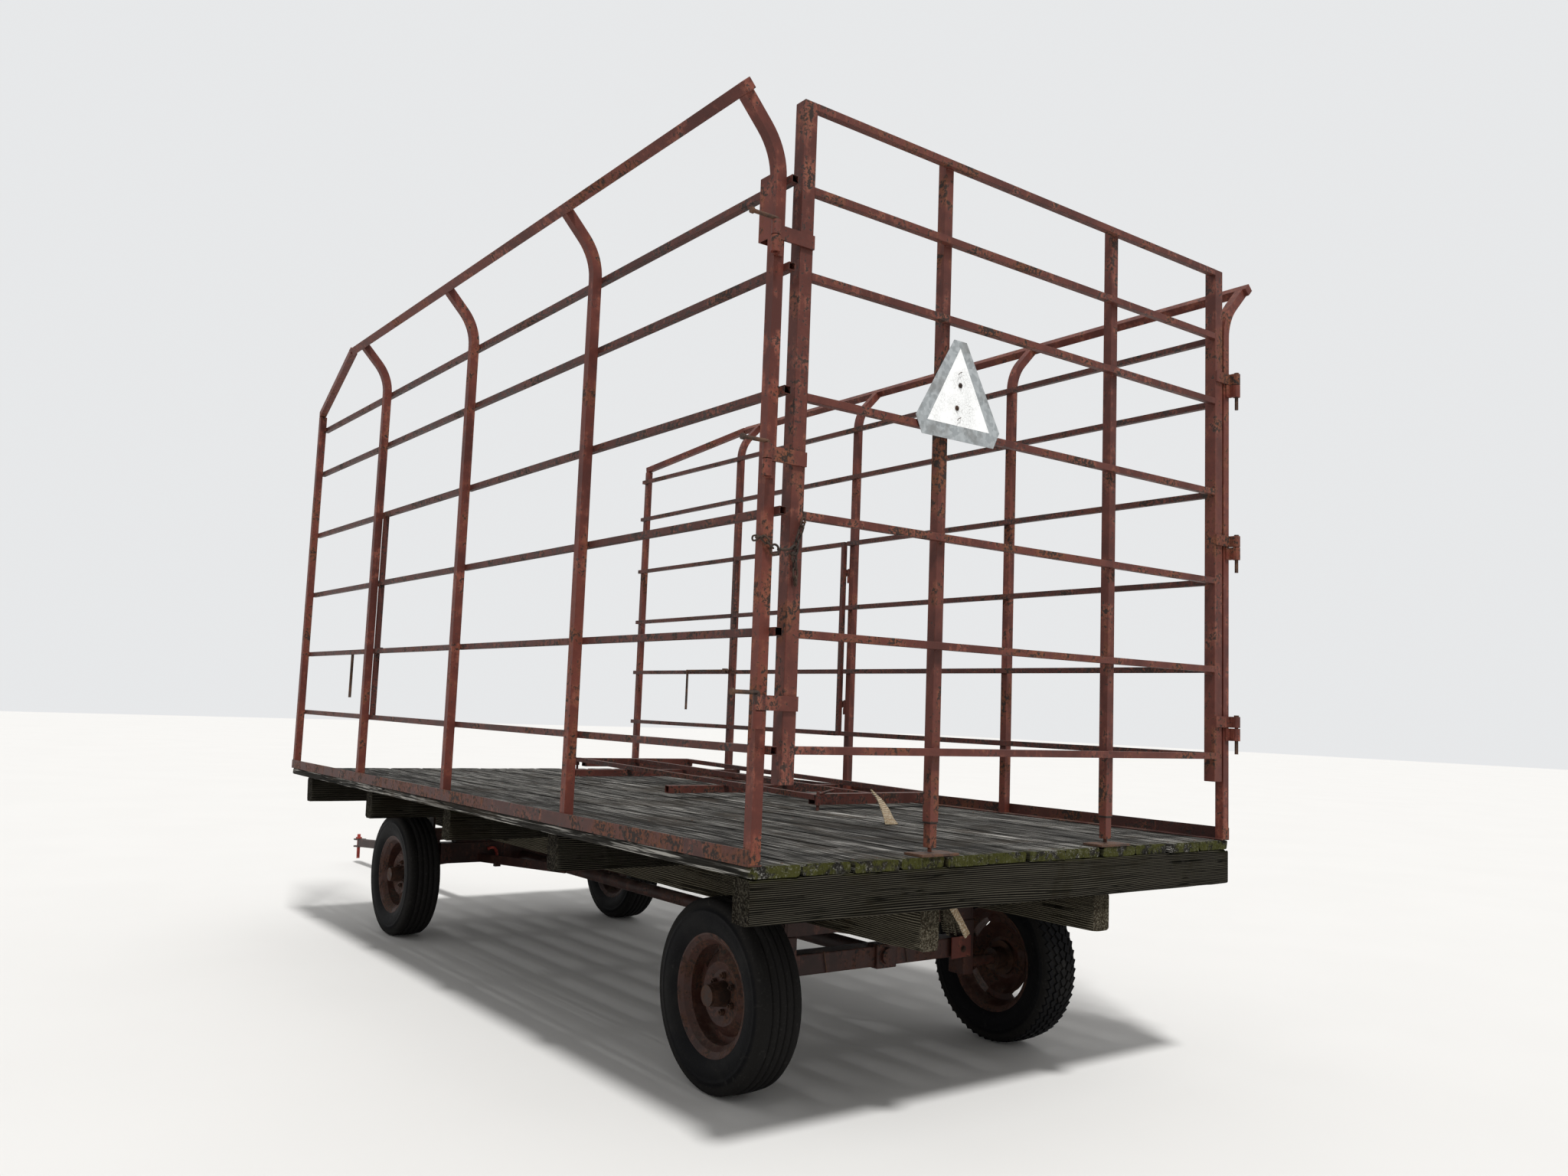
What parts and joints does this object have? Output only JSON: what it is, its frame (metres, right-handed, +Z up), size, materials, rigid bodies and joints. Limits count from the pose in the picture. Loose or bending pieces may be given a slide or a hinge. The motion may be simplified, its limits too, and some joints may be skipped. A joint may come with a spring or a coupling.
{
  "type": "hay wagon",
  "caption": "Farm hay wagon with a plank deck, slatted steel sides flared at the top, a rear gate, side doors and a four-wheel steering running gear with a tongue",
  "frame": {"origin": "on the ground at the middle of the wagon's overall length and width", "axes": "+X forward along the tongue, +Y to the wagon's left, +Z up"},
  "size_m": [7.4023, 2.7518, 3.3527],
  "materials": {
    "red_paint": "faded barn-red paint with rust and chips",
    "gear_paint": "dark red paint, dusty and rusty",
    "pin_paint": "worn red paint on steel",
    "rim_paint": "faded orange-red paint with rust",
    "rusty_hub": "rusty cast iron",
    "bare_steel": "rusty bare steel",
    "sign_plate": "galvanised plate with a crazed white triangle",
    "old_planks": "grey weathered planks with moss on the ends",
    "old_beams": "grey-brown weathered sawn beams",
    "tyre_rubber": "dusty black rubber"
  },
  "bodies": {
    "wagon": {"deck_planks": "old_planks", "cross_sills": "old_beams", "stringers": "old_beams", "edge_angles": "red_paint", "left_posts": "red_paint", "right_posts": "red_paint", "left_side_rails": "red_paint", "right_side_rails": "red_paint", "top_rails": "red_paint", "post_knuckles": "red_paint", "deck_plates": "bare_steel", "door_sockets": "red_paint", "latch_rods": "bare_steel", "loose_panel": "red_paint", "rear_axle": "gear_paint", "rear_bolster": "gear_paint", "reach_pole": "gear_paint", "reach_braces": "gear_paint", "front_axle": "gear_paint", "front_bolster": "gear_paint"},
    "gate": {"gate_stiles": "red_paint", "gate_rails": "red_paint", "gate_uprights": "red_paint", "gate_stubs": "red_paint", "gate_straps": "red_paint", "gate_pins": "bare_steel", "gate_sign": "sign_plate", "gate_chain": "bare_steel"},
    "left_door_body": {"left_door": "red_paint", "left_door_eyes": "red_paint"},
    "right_door_body": {"right_door": "red_paint", "right_door_eyes": "red_paint"},
    "left_knuckle_body": {"left_knuckle": "gear_paint"},
    "right_knuckle_body": {"right_knuckle": "gear_paint"},
    "left_rod_body": {"left_tie_rod": "gear_paint"},
    "right_rod_body": {"right_tie_rod": "gear_paint"},
    "swivel": {"tongue_swivel": "gear_paint"},
    "tongue_body": {"tongue": "gear_paint", "hitch_pin": "pin_paint"},
    "rear_left_wheel": {"rear_left_tyre": "tyre_rubber", "rear_left_rim": "rim_paint", "rear_left_hub": "rusty_hub"},
    "rear_right_wheel": {"rear_right_tyre": "tyre_rubber", "rear_right_rim": "rim_paint", "rear_right_hub": "rusty_hub"},
    "front_left_wheel": {"front_left_tyre": "tyre_rubber", "front_left_rim": "rim_paint", "front_left_hub": "rusty_hub"},
    "front_right_wheel": {"front_right_tyre": "tyre_rubber", "front_right_rim": "rim_paint", "front_right_hub": "rusty_hub"}
  },
  "joints": [
    {"name": "gate_swing", "type": "hinge", "parent": "wagon", "child": "gate", "pos_m": [-3.685, -1.235, 2.154], "axis": [0, 0, 1], "range_deg": [0, 180]},
    {"name": "left_door_swing", "type": "hinge", "parent": "wagon", "child": "left_door_body", "pos_m": [-1.17, 1.188, 1.421], "axis": [0, 0, 1], "range_deg": [0, 110]},
    {"name": "right_door_swing", "type": "hinge", "parent": "wagon", "child": "right_door_body", "pos_m": [-1.17, -1.188, 1.421], "axis": [0, 0, -1], "range_deg": [0, 110]},
    {"name": "tongue_steer", "type": "hinge", "parent": "wagon", "child": "swivel", "pos_m": [0.884, 0, 0.4], "axis": [0, 0, 1], "range_deg": [-30, 30]},
    {"name": "tongue_lift", "type": "hinge", "parent": "swivel", "child": "tongue_body", "pos_m": [1.174, 0, 0.354], "axis": [0, -1, 0], "range_deg": [0, 50]},
    {"name": "left_steer", "type": "hinge", "parent": "wagon", "child": "left_knuckle_body", "pos_m": [0.534, 0.56, 0.462], "axis": [0, 0, 1], "range_deg": [-30, 30]},
    {"name": "left_rod_pivot", "type": "hinge", "parent": "left_knuckle_body", "child": "left_rod_body", "pos_m": [0.734, 0.56, 0.36], "axis": [0, 0, 1], "range_deg": [-30, 30]},
    {"name": "right_steer", "type": "hinge", "parent": "wagon", "child": "right_knuckle_body", "pos_m": [0.534, -0.56, 0.462], "axis": [0, 0, 1], "range_deg": [-30, 30]},
    {"name": "right_rod_pivot", "type": "hinge", "parent": "right_knuckle_body", "child": "right_rod_body", "pos_m": [0.734, -0.56, 0.336], "axis": [0, 0, 1], "range_deg": [-30, 30]},
    {"name": "rear_left_spin", "type": "hinge", "parent": "wagon", "child": "rear_left_wheel", "pos_m": [-2.861, 0.73, 0.349], "axis": [0, 1, 0], "continuous": true},
    {"name": "rear_right_spin", "type": "hinge", "parent": "wagon", "child": "rear_right_wheel", "pos_m": [-2.861, -0.73, 0.349], "axis": [0, 1, 0], "continuous": true},
    {"name": "front_left_spin", "type": "hinge", "parent": "left_knuckle_body", "child": "front_left_wheel", "pos_m": [0.534, 0.73, 0.349], "axis": [0, 1, 0], "continuous": true},
    {"name": "front_right_spin", "type": "hinge", "parent": "right_knuckle_body", "child": "front_right_wheel", "pos_m": [0.534, -0.73, 0.349], "axis": [0, 1, 0], "continuous": true}
  ],
  "couplings": [
    {"joint": "left_steer", "follows": "tongue_steer", "ratio": 1},
    {"joint": "left_rod_pivot", "follows": "tongue_steer", "ratio": -1},
    {"joint": "right_steer", "follows": "tongue_steer", "ratio": 1},
    {"joint": "right_rod_pivot", "follows": "tongue_steer", "ratio": -1}
  ]
}
